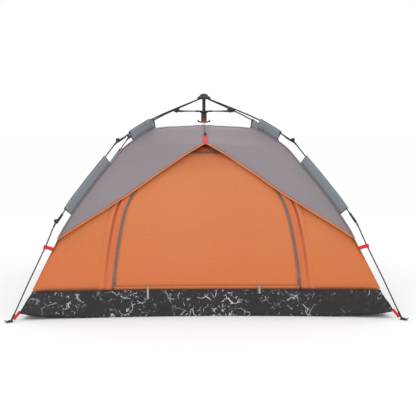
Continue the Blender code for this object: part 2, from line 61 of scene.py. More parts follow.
# Canopy seam over a leg, as radius and height from the crown to the floor band.
SEAM = np.array(((0.000, 1.2210), (0.075, 1.2110), (0.250, 1.2030), (0.480, 1.1905),
                 (0.660, 1.1200), (0.765, 1.0560), (0.868, 0.9600), (1.010, 0.8250),
                 (1.143, 0.6900), (1.206, 0.6150), (1.262, 0.5450), (1.345, 0.4200),
                 (1.498, 0.1800)))
# Brow height by share of the way from the middle to the leg.
BROW = np.array(((0.00, 1.0700), (0.06, 1.0530), (0.12, 1.0365), (0.22, 1.0080), (0.35, 0.9590),
                 (0.50, 0.8760), (0.63, 0.7780), (0.75, 0.6900), (0.83, 0.6296), (0.90, 0.5733),
                 (0.94, 0.5400), (0.97, 0.5120), (1.00, 0.4860)))
# How far the middle of a panel bows in from the line between its legs, by height.
PANEL_BOW = np.array(((0.1800, 0.037), (0.500, 0.030), (0.850, 0.000), (1.0560, -0.050),
                      (1.1200, 0.000), (1.1960, 0.030), (1.2190, 0.0)))
BROW_RISE = 0.030
# Half width of the door by height.
DOOR = np.array(((0.184, 0.604), (0.340, 0.590), (0.480, 0.571), (0.655, 0.536), (0.765, 0.489),
                 (0.870, 0.428), (0.950, 0.345), (1.005, 0.240), (1.032, 0.110)))
WALL_INSET = 0.028
WALL_TOP = 1.090
WALL_FOOT = 0.163
WALL_EDGE = 0.999
BAND_TOP = 0.168
DOOR_FOOT = 0.184
ZIP_GAP = 0.0015
# Middle line of the arm and of the middle pole, as radius and height.
ARM_LINE = ((0.050, 1.4102), (0.150, 1.3790), (0.270, 1.3415), (0.410, 1.2960),
            (0.540, 1.2480), (0.640, 1.2015), (0.7430, 1.1485))
MID_LINE = ((0.8220, 1.0890), (0.912, 1.0110), (1.050, 0.8790), (1.188, 0.7390),
            (1.2560, 0.6600))
# Stretch of each that its sleeve covers, as radii.
ARM_SLEEVE = (0.524, 0.702)
MID_SLEEVE = (0.914, 1.240)
STRUT_HEIGHT = 1.3216
COLLAR_SPANS = ((0.050, 0.082), (0.212, 0.243))
BINDING_RADIUS = 0.0044
STITCH_RADIUS = 0.0011
TAPE_WIDTH = 0.013
COIL_RADIUS = 0.0022
STRAP_THICK = 0.0026
CORD_WIDTH = 0.0042


def smooth(xs, ys, x):
    """Monotone cubic through a table, so that edges and seams have no corners."""
    xs, ys, x = np.asarray(xs, float), np.asarray(ys, float), np.asarray(x, float)
    h = np.diff(xs)
    d = np.diff(ys) / h
    m = np.zeros_like(xs)
    same = d[:-1] * d[1:] > 0
    m[1:-1][same] = 2 * d[:-1][same] * d[1:][same] / (d[:-1][same] + d[1:][same])
    m[0], m[-1] = d[0], d[-1]
    k = np.clip(np.searchsorted(xs, x) - 1, 0, len(h) - 1)
    t = np.clip((x - xs[k]) / h[k], 0, 1)
    a, b = 2 * t ** 3 - 3 * t ** 2 + 1, t ** 3 - 2 * t ** 2 + t
    return a * ys[k] + b * h[k] * m[k] + (1 - a) * ys[k + 1] + (t ** 3 - t ** 2) * h[k] * m[k + 1]


SHARES = np.linspace(0, 1, len(SEAM))


def seam_at(share):
    return smooth(SHARES, SEAM[:, 0], share), smooth(SHARES, SEAM[:, 1], share)


FINE = np.linspace(0, 1, 2001)
FINE_R, FINE_Z = seam_at(FINE)


def share_of(height):
    return np.interp(-np.asarray(height, float), -FINE_Z, FINE)


def brow_height(across):
    return smooth(BROW[:, 0], BROW[:, 1], np.abs(across))


def door_half(height):
    return smooth(DOOR[:, 0], DOOR[:, 1], height)


def panel(side, share, across, inset=0.0):
    """Points of one of the four cloth panels; side 0 front, 1 right, 2 rear, 3 left."""
    share, across = np.broadcast_arrays(np.asarray(share, float), np.asarray(across, float))
    radius, height = seam_at(share)
    half = np.stack((radius * math.cos(LEG_AZIMUTH), radius * math.sin(LEG_AZIMUTH)))
    bulge = 1 - across ** 2
    bow = smooth(PANEL_BOW[:, 0], PANEL_BOW[:, 1], height) * bulge
    rise = BROW_RISE * bulge * np.clip(1 - np.abs(height - 1.06) / 0.12, 0, 1)
    if side % 2:
        bow, half = np.abs(bow), half[::-1]
    if side % 2 or inset:
        rise = rise * 0
    x, y = across * half[0], -(half[1] * (1 - bow) - inset)
    c, s = round(math.cos(side * math.pi / 2)), round(math.sin(side * math.pi / 2))
    return np.stack((c * x - s * y, s * x + c * y, height + rise), axis=-1)


def wall(height, x, inset=WALL_INSET, side=0):
    """Points of an end wall at a height and a sideways distance."""
    height, x = np.broadcast_arrays(np.asarray(height, float), np.asarray(x, float))
    share = share_of(height)
    half = seam_at(share)[0] * math.cos(LEG_AZIMUTH)
    made = panel(side, share, np.clip(x / half, -1, 1), inset)
    made[..., 2] = height
    return made


def ripple(points, size, amount, seed):
    """Smooth noise at each point, for swells and crumples."""
    flat = points.reshape(-1, 3)
    found = [noise.noise(Vector(p) * size + Vector((seed, seed, seed))) for p in flat]
    return np.array(found).reshape(points.shape[:-1]) * amount


def outwards(points):
    """Directions away from a point low inside the tent."""
    away = points - np.array((0.0, 0.0, 0.35))
    return away / np.linalg.norm(away, axis=-1, keepdims=True)


# ------------------------------------------------------------------ materials
def new_material(name):
    made = bpy.data.materials.new(name)
    made.use_nodes = True
    tree = made.node_tree
    return made, tree, tree.nodes["Principled BSDF"]


def put(tree, kind, links=(), **values):
    """Adds a node, sets its inputs and properties, and links (socket, source) pairs."""
    node = tree.nodes.new(kind)
    for key, value in values.items():
        if hasattr(node, key):
            setattr(node, key, value)
        else:
            node.inputs[key.replace("_", " ")].default_value = value
    for key, source in links:
        tree.links.new(source, node.inputs[key])
    return node


def mix(tree, factor, a, b, blend="MIX"):
    node = tree.nodes.new("ShaderNodeMix")
    node.data_type = "RGBA"
    node.blend_type = blend
    for socket, value in ((node.inputs[0], factor), (node.inputs[6], a), (node.inputs[7], b)):
        if isinstance(value, bpy.types.NodeSocket):
            tree.links.new(value, socket)
        elif isinstance(value, (int, float)):
            socket.default_value = value
        else:
            socket.default_value = (*value, 1.0)
    return node.outputs[2]


def ramp(tree, source, low, high, start=0.0, end=1.0):
    node = put(tree, "ShaderNodeMapRange", [("Value", source)])
    for key, value in (("From Min", low), ("From Max", high), ("To Min", start), ("To Max", end)):
        node.inputs[key].default_value = value
    return node.outputs[0]


def cloth(name, colour, shade, roughness=0.62, weave=0.0016, sheen=0.12, soft=0.25, tint=None):
    """Coated plain-weave cloth: thread grid, slubs, faint soiling and soft creases."""
    made, tree, shader = new_material(name)
    uv = put(tree, "ShaderNodeUVMap", uv_map="cloth")
    place = put(tree, "ShaderNodeTexCoord")
    warp = put(tree, "ShaderNodeTexWave", [("Vector", uv.outputs[0])], Scale=0.31 / weave,
               Distortion=0.4)
    weft = put(tree, "ShaderNodeTexWave", [("Vector", uv.outputs[0])], Scale=0.31 / weave,
               Distortion=0.4, bands_direction="Y")
    threads = put(tree, "ShaderNodeMath", [(0, warp.outputs["Fac"]), (1, weft.outputs["Fac"])],
                  operation="MULTIPLY").outputs[0]
    cloud = put(tree, "ShaderNodeTexNoise", [("Vector", place.outputs["Object"])], Scale=1.7,
                Detail=5.0).outputs["Fac"]
    slub = put(tree, "ShaderNodeTexNoise", [("Vector", uv.outputs[0])], Scale=160.0,
               Detail=3.0).outputs["Fac"]
    tone = mix(tree, ramp(tree, cloud, 0.32, 0.72), colour, shade)
    if tint:
        tone = tint(tree, uv.outputs[0], place.outputs["Object"], tone)
    tone = mix(tree, ramp(tree, threads, 0.0, 1.0, 0.0, 0.14), tone, (0, 0, 0))
    tone = mix(tree, ramp(tree, slub, 0.45, 0.8, 0.0, 0.10), tone, (1, 1, 1))
    tree.links.new(tone, shader.inputs["Base Color"])
    tree.links.new(ramp(tree, cloud, 0.3, 0.7, roughness - 0.08, roughness + 0.08),
                   shader.inputs["Roughness"])
    shader.inputs["Sheen Weight"].default_value = sheen
    shader.inputs["Sheen Roughness"].default_value = 0.4
    shader.inputs["Specular IOR Level"].default_value = 0.35
    crease = put(tree, "ShaderNodeTexNoise", [("Vector", place.outputs["Object"])], Scale=5.5,
                 Detail=6.0, Roughness=0.45, Distortion=0.6).outputs["Fac"]
    folds = put(tree, "ShaderNodeBump", [("Height", crease)], Strength=soft, Distance=0.010)
    fine = put(tree, "ShaderNodeBump", [("Height", threads), ("Normal", folds.outputs[0])],
               Strength=0.25, Distance=0.0004)
    tree.links.new(fine.outputs[0], shader.inputs["Normal"])
    return made


def wall_shade_and_tint(tree, flat, place, tone):
    """Painted shade: slightly deeper towards the top, where the brow shades it; redder towards the
    bottom hem.
    """
    height = put(tree, "ShaderNodeSeparateXYZ", [("Vector", place)]).outputs["Z"]
    # painted shade from the brow: darker towards the top of the wall
    tone = mix(tree, ramp(tree, height, 0.89, 1.03, 0.0, 0.65), tone, (0.450, 0.105, 0.030))
    # redder towards the bottom
    return mix(tree, ramp(tree, height, 0.82, 0.20, 0.0, 0.95), tone, (0.652, 0.160, 0.036))


def zip_tint(tree, flat, place, tone):
    """Zip tape that darkens where the brow shades it."""
    height = put(tree, "ShaderNodeSeparateXYZ", [("Vector", place)]).outputs["Z"]
    return mix(tree, ramp(tree, height, 0.66, 0.90, 0.0, 0.75), tone, (0.048, 0.047, 0.050))


def fold_tint(tree, flat, place, tone):
    """Strip beside the door zip: deeper orange up to the fold line, painted shade in the fold's
    crease, wall colour past it.
    """
    across = put(tree, "ShaderNodeSeparateXYZ", [("Vector", flat)]).outputs["X"]
    height = put(tree, "ShaderNodeSeparateXYZ", [("Vector", place)]).outputs["Z"]
    off = put(tree, "ShaderNodeMath", [(0, across)], operation="ABSOLUTE").outputs[0]
    plain = wall_shade_and_tint(tree, flat, place, (0.640, 0.189, 0.054))
    tone = mix(tree, ramp(tree, across, -0.002, 0.016), tone, plain)
    # painted shade in the crease of the fold, stronger higher up the flap
    deep = put(tree, "ShaderNodeMath", [(0, ramp(tree, off, 0.0160, 0.001)),
                                        (1, ramp(tree, height, 0.22, 0.70, 0.16, 0.92))],
               operation="MULTIPLY").outputs[0]
    return mix(tree, deep, tone, (0.260, 0.040, 0.010))


def film(name):
    """Black crinkled polythene: sharp facets, painted glints as short pale crease lines, and soft
    scuffs.
    """
    made, tree, shader = new_material(name)
    place = put(tree, "ShaderNodeTexCoord").outputs["Object"]
    bend = put(tree, "ShaderNodeTexNoise", [("Vector", place)], Scale=9.0, Detail=4.0)
    moved = put(tree, "ShaderNodeMix", data_type="VECTOR")
    moved.inputs[0].default_value = 0.045
    tree.links.new(place, moved.inputs[4])
    tree.links.new(bend.outputs["Color"], moved.inputs[5])
    facets = put(tree, "ShaderNodeTexVoronoi", [("Vector", moved.outputs[1])], Scale=26.0,
                 feature="F1").outputs["Distance"]
    patches = put(tree, "ShaderNodeTexNoise", [("Vector", place)], Scale=4.2, Detail=3.0)
    spread = ramp(tree, patches.outputs["Fac"], 0.42, 0.57)
    painted_glints = None
    # painted glints: short pale lines that stand in for light glancing off the crinkles
    for scale, cut, gap in ((8.0, 0.022, 11.0), (15.0, 0.034, 21.0), (31.0, 0.052, 38.0)):
        lines = put(tree, "ShaderNodeTexVoronoi", [("Vector", moved.outputs[1])], Scale=scale,
                    feature="DISTANCE_TO_EDGE").outputs["Distance"]
        broken = put(tree, "ShaderNodeTexNoise", [("Vector", place)], Scale=gap, Detail=2.0)
        gate = put(tree, "ShaderNodeMath", [(0, ramp(tree, lines, cut, cut * 0.3)),
                                            (1, ramp(tree, broken.outputs["Fac"], 0.555, 0.600))],
                   operation="MULTIPLY").outputs[0]
        if painted_glints is None:
            painted_glints = gate
        else:
            painted_glints = put(tree, "ShaderNodeMath", [(0, painted_glints), (1, gate)],
                          operation="MAXIMUM").outputs[0]
    painted_glints = put(tree, "ShaderNodeMath", [(0, painted_glints), (1, spread)],
                  operation="MULTIPLY").outputs[0]
    tone = mix(tree, ramp(tree, patches.outputs["Fac"], 0.35, 0.7), (0.011, 0.0095, 0.0115),
               (0.021, 0.0185, 0.0205))
    # painted glints, near white
    tone = mix(tree, painted_glints, tone, (0.66, 0.66, 0.70))
    tree.links.new(tone, shader.inputs["Base Color"])
    tree.links.new(ramp(tree, bend.outputs["Fac"], 0.3, 0.7, 0.26, 0.44),
                   shader.inputs["Roughness"])
    shader.inputs["Specular IOR Level"].default_value = 0.40
    first = put(tree, "ShaderNodeBump", [("Height", facets)], Strength=0.55, Distance=0.012)
    second = put(tree, "ShaderNodeBump", [("Height", painted_glints), ("Normal", first.outputs[0])],
                 Strength=0.30, Distance=0.004)
    tree.links.new(second.outputs[0], shader.inputs["Normal"])
    return made


def hard(name, colour, roughness, metallic=0.0, grain=220.0):
    """Moulded or coated surface: fine grain, handling marks and paler worn patches."""
    made, tree, shader = new_material(name)
    place = put(tree, "ShaderNodeTexCoord").outputs["Object"]
    fine = put(tree, "ShaderNodeTexNoise", [("Vector", place)], Scale=grain, Detail=4.0)
    broad = put(tree, "ShaderNodeTexNoise", [("Vector", place)], Scale=18.0, Detail=5.0)
    pale = tuple(min(1.0, c * 2.2 + 0.03) for c in colour)
    tone = mix(tree, ramp(tree, broad.outputs["Fac"], 0.55, 0.75, 0.0, 0.30), colour, pale)
    tree.links.new(tone, shader.inputs["Base Color"])
    tree.links.new(ramp(tree, broad.outputs["Fac"], 0.3, 0.7, roughness - 0.07, roughness + 0.1),
                   shader.inputs["Roughness"])
    shader.inputs["Metallic"].default_value = metallic
    bump = put(tree, "ShaderNodeBump", [("Height", fine.outputs["Fac"])], Strength=0.15,
               Distance=0.0006)
    tree.links.new(bump.outputs[0], shader.inputs["Normal"])
    return made


FLY = cloth("fly_cloth_grey", (0.264, 0.226, 0.247), (0.238, 0.205, 0.224), 0.50, sheen=0.1)
SLEEVE = cloth("sleeve_cloth_blue_grey", (0.222, 0.254, 0.284), (0.196, 0.226, 0.254), 0.55)
WALL = cloth("wall_cloth_orange", (0.658, 0.200, 0.058), (0.620, 0.178, 0.050), 0.66, soft=0.16,
             tint=wall_shade_and_tint)
# darker copy of the wall cloth: painted shade for the wall under the brow
WALL_UNDER_BROW_SHADE = cloth("wall_cloth_shaded", (0.500, 0.070, 0.013), (0.440, 0.060, 0.011), 0.7)
FLAP = cloth("flap_cloth_orange", (0.650, 0.152, 0.036), (0.610, 0.134, 0.031), 0.62,
             tint=fold_tint)
PIPING = cloth("binding_orange", (0.780, 0.220, 0.058), (0.730, 0.198, 0.050), 0.5, weave=0.0012)
RED = cloth("webbing_red", (0.820, 0.014, 0.022), (0.720, 0.010, 0.018), 0.5, weave=0.0011)
TAPE = cloth("zip_tape_grey", (0.225, 0.222, 0.234), (0.190, 0.188, 0.198), 0.6, weave=0.0010,
             tint=zip_tint)
TOGGLE = cloth("toggle_webbing_grey", (0.34, 0.34, 0.36), (0.28, 0.28, 0.30), 0.6, weave=0.0012)
DARK_TAPE = cloth("zip_tape_dark", (0.052, 0.046, 0.046), (0.040, 0.036, 0.036), 0.6, weave=0.001)
EDGING = cloth("sleeve_edging_dark", (0.072, 0.078, 0.088), (0.060, 0.064, 0.072), 0.6)
CORD = cloth("cord_grey", (0.150, 0.150, 0.160), (0.110, 0.110, 0.120), 0.6, weave=0.0012)
FILM = film("floor_film_black")
BLACK = hard("moulded_black_fine", (0.017, 0.017, 0.019), 0.42)
STEEL = hard("tube_dark_coated", (0.018, 0.019, 0.021), 0.40, 0.2)
FIBRE = hard("fibreglass_rod", (0.015, 0.016, 0.018), 0.46, 0.0, 400.0)
ZIP_METAL = hard("zip_painted_grey", (0.130, 0.130, 0.138), 0.38, 0.5)


# ------------------------------------------------------------------ mesh helpers
def add_object(name, mesh, material):
    """A smooth-shaded object with one material."""
    obj = bpy.data.objects.new(name, mesh)
    bpy.context.scene.collection.objects.link(obj)
    mesh.materials.append(material)
    for face in mesh.polygons:
        face.use_smooth = True
    return obj


def grid(name, blocks, material, thick=0.0012, weld=True):
    """One mesh from blocks of (rows x columns x 3) points, each with metre-true UVs."""
    bm = bmesh.new()
    layer = bm.loops.layers.uv.new("cloth")
    for points in blocks:
        rows, columns = points.shape[:2]
        across = np.zeros((rows, columns))
        across[:, 1:] = np.cumsum(np.linalg.norm(np.diff(points, axis=1), axis=2), axis=1)
        across -= across[:, columns // 2][:, None]
        down = np.zeros((rows, columns))
        down[1:] = np.cumsum(np.linalg.norm(np.diff(points, axis=0), axis=2), axis=0)
        verts = [[bm.verts.new(p) for p in row] for row in points.tolist()]
        for i in range(rows - 1):
            for j in range(columns - 1):
                corner = ((i, j), (i, j + 1), (i + 1, j + 1), (i + 1, j))
                face = bm.faces.new([verts[a][b] for a, b in corner])
                for loop, (a, b) in zip(face.loops, corner):
                    loop[layer].uv = (across[a, b], down[a, b])
    if weld:
        bmesh.ops.remove_doubles(bm, verts=bm.verts, dist=2e-5)
        bmesh.ops.dissolve_degenerate(bm, edges=bm.edges, dist=1e-6)
    mesh = bpy.data.meshes.new(name)
    bm.to_mesh(mesh)
    bm.free()
    obj = add_object(name, mesh, material)
    if thick:
        solid = obj.modifiers.new("thickness", "SOLIDIFY")
        solid.thickness = thick
        solid.offset = 0.0
    return obj


def frames(path, facing):
    """Side and facing directions along a path, facing being roughly the way it looks."""
    path = np.asarray(path, float)
    along = np.gradient(path, axis=0)
    along /= np.linalg.norm(along, axis=1, keepdims=True)
    facing = np.broadcast_to(np.asarray(facing, float), path.shape)
    side = np.cross(along, facing)
    side /= np.linalg.norm(side, axis=1, keepdims=True)
    return path, side, np.cross(side, along)


def ribbon(name, path, facing, width, material, lift=0.0, thick=0.0014, crown=0.0):
    """Flat band along a path, lifted off it and crowned in the middle."""
    path, side, face = frames(path, facing)
    spread = np.linspace(-1, 1, 7)
    points = (path[:, None] + side[:, None] * (spread * width / 2)[None, :, None]
              + face[:, None] * (lift + crown * (1 - spread ** 2))[None, :, None])
    return grid(name, [points], material, thick)


def rod(name, path, radius, material, sides=10, facing=(0.31, -0.85, 0.42)):
    """Closed round bar along a path; radius may vary along it."""
    path, side, face = frames(path, facing)
    radius = np.broadcast_to(np.asarray(radius, float), (len(path),))
    turn = np.linspace(0, 2 * math.pi, sides + 1)
    ring = (side[:, None] * np.cos(turn)[None, :, None]
            + face[:, None] * np.sin(turn)[None, :, None])
    points = path[:, None] + ring * radius[:, None, None]
    ends = [np.repeat(path[k][None, None], sides + 1, axis=1) for k in (0, -1)]
    points = np.concatenate((ends[0], points, ends[1]))
    return grid(name, [points], material, thick=0.0)


def curve(points, count):
    """Catmull-Rom path through a few points."""
    points = [Vector(p) for p in points]
    points = [2 * points[0] - points[1]] + points + [2 * points[-1] - points[-2]]
    made = []
    for k in range(1, len(points) - 2):
        p0, p1, p2, p3 = points[k - 1:k + 3]
        for i in range(count):
            t = i / count
            made.append(0.5 * (2 * p1 + (p2 - p0) * t + (2 * p0 - 5 * p1 + 4 * p2 - p3) * t ** 2
                               + (3 * p1 - p0 - 3 * p2 + p3) * t ** 3))
    made.append(points[-2])
    return np.array([tuple(p) for p in made])


def rides(obj, body="tent_body"):
    """Fixes a soft piece to a body and gives it its own copy of its mesh."""
    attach(obj, body)
    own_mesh(obj)


# ------------------------------------------------------------------ camera and light
def make_camera():
    data = bpy.data.cameras.new("camera")
    data.lens = 71.0
    data.sensor_width = 36.0
    camera = bpy.data.objects.new("camera", data)
    bpy.context.scene.collection.objects.link(camera)
    yaw, pitch = -0.0258, 0.1086  # radians, to the side and down
    fore = Vector((-math.sin(yaw) * math.cos(pitch), math.cos(yaw) * math.cos(pitch),
                   -math.sin(pitch)))
    camera.location = (-0.1285, -6.1656, 1.2667)
    camera.rotation_euler = fore.to_track_quat("-Z", "Y").to_euler()
    bpy.context.scene.camera = camera


def make_light():
    world = bpy.data.worlds.new("studio")
    bpy.context.scene.world = world
    world.use_nodes = True
    world.node_tree.nodes["Background"].inputs[0].default_value = (1.0, 1.0, 1.0, 1.0)
    world.node_tree.nodes["Background"].inputs[1].default_value = 1.0
    for name, place, target, size, power in (
            ("key", (-1.2, -4.2, 4.6), (0, 0, 0.6), 3.4, 34.0),
            ("top", (0.6, 0.8, 4.6), (0, 0, 0.8), 3.6, 6.0),
            ("fill", (4.6, -2.6, 2.2), (0, 0, 0.6), 2.6, 8.0)):
        data = bpy.data.lights.new(name, "AREA")
        data.shape = "DISK"
        data.size = size
        data.energy = power
        lamp = bpy.data.objects.new(name, data)
        lamp.location = place
        aim = Vector(target) - Vector(place)
        lamp.rotation_euler = aim.to_track_quat("-Z", "Y").to_euler()
        bpy.context.scene.collection.objects.link(lamp)
    bpy.context.scene.view_settings.view_transform = "Standard"
    floor_mat, tree, shader = new_material("studio_floor")
    cloud = put(tree, "ShaderNodeTexNoise", Scale=3.0, Detail=3.0)
    tree.links.new(mix(tree, cloud.outputs["Fac"], (0.975, 0.975, 0.975), (0.995, 0.995, 0.995)),
                   shader.inputs["Base Color"])
    shader.inputs["Roughness"].default_value = 0.9
    mesh = bpy.data.meshes.new("studio_floor")
    mesh.from_pydata([(-40, -40, -0.0005), (40, -40, -0.0005), (40, 40, -0.0005),
                      (-40, 40, -0.0005)], [], [(0, 1, 2, 3)])
    add_object("studio_floor", mesh, floor_mat)


# ------------------------------------------------------------------ roof
ROWS, COLUMNS = 44, 64
HEM_ROWS = 14
CROWDING = math.pi / 2 * 0.85
ACROSS = np.sin(np.linspace(-1, 1, COLUMNS + 1) * CROWDING) / math.sin(CROWDING)
BROW_END = float(share_of(BROW[-1, 1]))


def fly_panel(side):
    """Points of one roof panel: the ends stop at the brow, the sides at the floor band."""
    low = np.full_like(ACROSS, BROW_END) if side % 2 else share_of(brow_height(ACROSS))
    share = np.linspace(0, 1, ROWS + 1)[:, None] * low[None, :]
    if side % 2:
        part = np.linspace(0, 1, HEM_ROWS + 1)[1:, None]
        share = np.concatenate((share, BROW_END + (1 - BROW_END) * part * np.ones_like(low)))
    points = panel(side, share, ACROSS[None, :])
    free = (1 - ACROSS ** 2)[None, :] ** 0.8 * np.clip(share * 8, 0, 1)
    swell = ripple(points, 1.9, 0.012, 3.1) + ripple(points, 4.6, 0.005, 7.7)
    near_leg = np.clip(1 - (1 - np.abs(ACROSS)) / 0.22, 0, 1)[None, :]
    pull = 0.0016 * np.sin(share * 70.0) * near_leg * (1 - ACROSS ** 2) ** 0.3
    return points + outwards(points) * (swell * free + pull)[..., None]


def make_fly():
    fly = grid("fly_sheet", [fly_panel(side) for side in range(4)], FLY)
    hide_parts("fly")
    rides(fly)


def make_brow_edges():
    share = share_of(brow_height(ACROSS))
    for side, name in ((0, "front"), (2, "rear")):
        path = panel(side, share, ACROSS)
        path = path + outwards(path) * 0.001
        hem = panel(side, share * 0.985, ACROSS) + outwards(path) * 0.002
        rides(rod(f"{name}_brow_binding", path, BINDING_RADIUS, PIPING))
        rides(rod(f"{name}_brow_stitching", hem, STITCH_RADIUS, FLY, 6))


def make_seam_bindings():
    radius, height = seam_at(np.linspace(0.06, BROW_END, 60))
    for name, turn in LEGS.items():
        path = np.stack((radius * math.cos(turn), radius * math.sin(turn), height), axis=-1)
        path = path + outwards(path) * 0.0015
        rides(ribbon(f"{name}_seam_binding", path, outwards(path), 0.012, FLY,
                     lift=0.001, crown=0.003))


# ------------------------------------------------------------------ end walls and door
def wall_reach(heights):
    """Half width of an end wall, just short of the canopy seams."""
    return seam_at(share_of(heights))[0] * math.cos(LEG_AZIMUTH) * WALL_EDGE


def to_seam(height, edge):
    """How far a wall's side edge comes out to meet the canopy seam below the brow's ends."""
    return WALL_INSET * edge ** 1.5 * np.clip((0.47 - height) / 0.12, 0, 1)


def front_half(sign, heights):
    """Points of the front wall on one side of the door."""
    reach = wall_reach(heights)
    half = door_half(heights) + ZIP_GAP
    x = sign * (half[:, None] + (reach - half)[:, None] * np.linspace(0, 1, 16)[None, :])
    edge = np.clip((np.abs(x) - reach[:, None] + 0.10) / 0.10, 0, 1)
    z = np.broadcast_to(heights[:, None], x.shape)
    points = wall(z, x)
    points[..., 1] -= to_seam(z, edge)
    points += outwards(points) * (ripple(points, 3.0, 0.006, 1.5) * (1 - edge))[..., None]
    return points if sign > 0 else points[:, ::-1]


def make_front():
    heights = np.concatenate((np.linspace(WALL_FOOT, 0.75, 22), np.linspace(0.78, 1.036, 16)))
    heights = heights[:-1]
    top = np.linspace(float(heights[-1]), WALL_TOP, 6)
    wide = np.linspace(float(door_half(heights[-1])) + ZIP_GAP, 0.42, 6)
    bridge = wall(top[:, None], np.linspace(-1, 1, 41)[None, :] * wide[:, None])
    blocks = [front_half(-1, heights), front_half(1, heights), bridge]
    front = grid("front_wall_sheet", blocks, WALL, weld=False)
    front.data.materials.append(WALL_UNDER_BROW_SHADE)
    # faces above the door, under the brow, take the painted-shade copy of the wall cloth
    for face in front.data.polygons:
        above_door = face.center.z > 1.034 and abs(face.center.x) < 0.26
        face.material_index = int(above_door)
    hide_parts("front_wall")
    rides(front)


def make_rear():
    heights = np.linspace(WALL_FOOT, WALL_TOP, 40)
    x = wall_reach(heights)[:, None] * ACROSS[None, :]
    z = np.broadcast_to(heights[:, None], x.shape)
    points = wall(z, x, side=2)
    edge = np.clip((np.abs(ACROSS) - 0.92) / 0.08, 0, 1)[None, :]
    points[..., 1] += to_seam(z, edge)
    points += outwards(points) * (ripple(points, 2.6, 0.008, 4.5) * (1 - edge))[..., None]
    rear = grid("rear_wall_sheet", [points], WALL)
    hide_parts("rear_wall")
    rides(rear)


def make_door():
    heights = np.concatenate((np.linspace(DOOR_FOOT, 0.75, 24), np.linspace(0.78, 1.031, 22)))
    half = (door_half(heights) - ZIP_GAP)[:, None]
    x = half * np.linspace(-1, 1, 45)[None, :]
    z = np.broadcast_to(heights[:, None], x.shape)
    points = wall(z, x)
    free = np.clip((half - np.abs(x)) / 0.10, 0, 1) * np.clip((z - 0.18) / 0.15, 0, 1)
    fold = np.exp(-((z - 0.985 + 0.10 * (x - 0.1)) / 0.012) ** 2) * 0.006
    points += outwards(points) * ((ripple(points, 2.4, 0.010, 9.2) + fold) * free)[..., None]
    door = grid("door_panel", [points], WALL)
    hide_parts("door")
    rides(door, "door")


def make_door_hem():
    """Strip of wall cloth in front of the door's foot; each row is a height and a lift."""
    x = np.linspace(-1, 1, 61) * (float(door_half(DOOR_FOOT)) - 0.004)
    rows = ((WALL_FOOT, 0.0016), (0.176, 0.0034), (0.185, 0.0038), (0.188, 0.0030))
    points = [wall(np.full(61, height), x) + np.array((0, -lift, 0)) for height, lift in rows]
    rides(grid("door_hem", [np.array(points)], WALL))


# ------------------------------------------------------------------ zips
WALL_FACING = (0, -0.92, 0.39)
FLAP_COLUMNS = 25


def make_side_zip(name, sign):
    heights = np.concatenate((np.linspace(WALL_FOOT, 0.80, 30), np.linspace(0.81, 1.028, 22)))
    path = wall(heights, sign * (door_half(heights) + 0.001))
    tape = ribbon(f"{name}_zip_tape", path, WALL_FACING, TAPE_WIDTH, TAPE,
                  lift=0.0030)
    coil = rod(f"{name}_zip_coil", path + np.array((0, -0.0044, 0.0018)), COIL_RADIUS, ZIP_METAL,
               8)
    rides(tape)
    rides(coil)


def flap_lift(part, height):
    """Height of a zip flap above the wall: a roll, its lip, a valley and the slope beyond."""
    full = 0.35 + 0.65 * min(1.0, max(0.0, (height - 0.20) / 0.30))
    roll = np.sin(np.clip(part / 0.50, 0, 1) * math.pi) ** 1.2 * 0.0095
    lip = np.exp(-((part - 0.40) / 0.055) ** 2) * 0.0045
    valley = -np.exp(-((part - 0.545) / 0.040) ** 2) * 0.0040
    beyond = np.exp(-((part - 0.70) / 0.11) ** 2) * 0.0062
    wave = 0.0012 * math.sin(height * 23.0) * part * (1 - part) * 4
    return 0.0042 + (roll + lip + beyond + valley) * full + wave


def make_zip_flap(name, sign):
    """Rain flap beside a zip; its outer edge sinks into the wall cloth."""
    part = np.linspace(0, 1, FLAP_COLUMNS)
    fade = 1 - np.clip((part - 0.86) / 0.14, 0, 1) ** 2
    rows = []
    for height in np.linspace(WALL_FOOT + 0.002, 0.95, 60):
        base = float(door_half(height)) + 0.009
        width = 0.094 + 0.020 * (height - 0.2)
        line = wall(np.full(FLAP_COLUMNS, height), sign * (base + width * part))
        line[:, 1] -= flap_lift(part, height) * fade - 0.0026 * (1 - fade)
        rows.append(line)
    flap = grid(f"{name}_zip_flap", [np.array(rows)], FLAP)
    rides(flap)


def make_top_zip():
    x = np.linspace(-0.155, 0.140, 30)
    path = wall(1.0345 + 0.03 * x, x) + np.array((0, -0.0045, 0.001))
    rides(ribbon("top_zip_tape", path, WALL_FACING, 0.012, DARK_TAPE, lift=0.002))
    rides(rod("top_zip_coil", path + np.array((0, -0.0035, 0.001)), 0.0020, ZIP_METAL,
              8))


def make_toggle(name, across, drop):
    """Webbing loop for the rolled door, hanging in front of the floor band."""
    place = wall(np.array([DOOR_FOOT]), np.array([across]))[0]
    path = curve([place + (0, -0.001, 0.004), place + (0, -0.012, 0.000),
                  place + (0, -0.034, -0.012), place + (0, -0.042, -0.5 * drop - 0.010),
                  place + (0, -0.050, -drop)], 6)
    rides(ribbon(f"{name}_door_toggle", path, (0, -1, 0.2), 0.013, TOGGLE))


def make_zip_slider(side):
    """A copy of the frame's own slider mesh, fixed to its zip's body."""
    node = f"zip_slider_{side}"
    mesh = frame["nodes"][node].data.copy()
    mesh.materials.clear()
    slider = add_object(f"{side}_zip_slider", mesh, ZIP_METAL)
    for face in mesh.polygons:
        face.use_smooth = False
    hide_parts(node)
    rides(slider, f"zip_{side}")


def make_zips():
    for name, sign in (("left", -1), ("right", 1)):
        make_side_zip(name, sign)
        make_zip_flap(name, sign)
    make_top_zip()
    make_toggle("left", -0.381, 0.068)
    make_toggle("right", 0.338, 0.036)
    make_zip_slider("left")
    make_zip_slider("right")


# ------------------------------------------------------------------ floor
FLOOR_HALF, FLOOR_BOW = (1.190, 1.072), 0.086
BAND_HALF, BAND_BOW = (1.116, 1.005), 0.037
CORNER_LIFT = 0.046
FLOOR_STEPS = 150


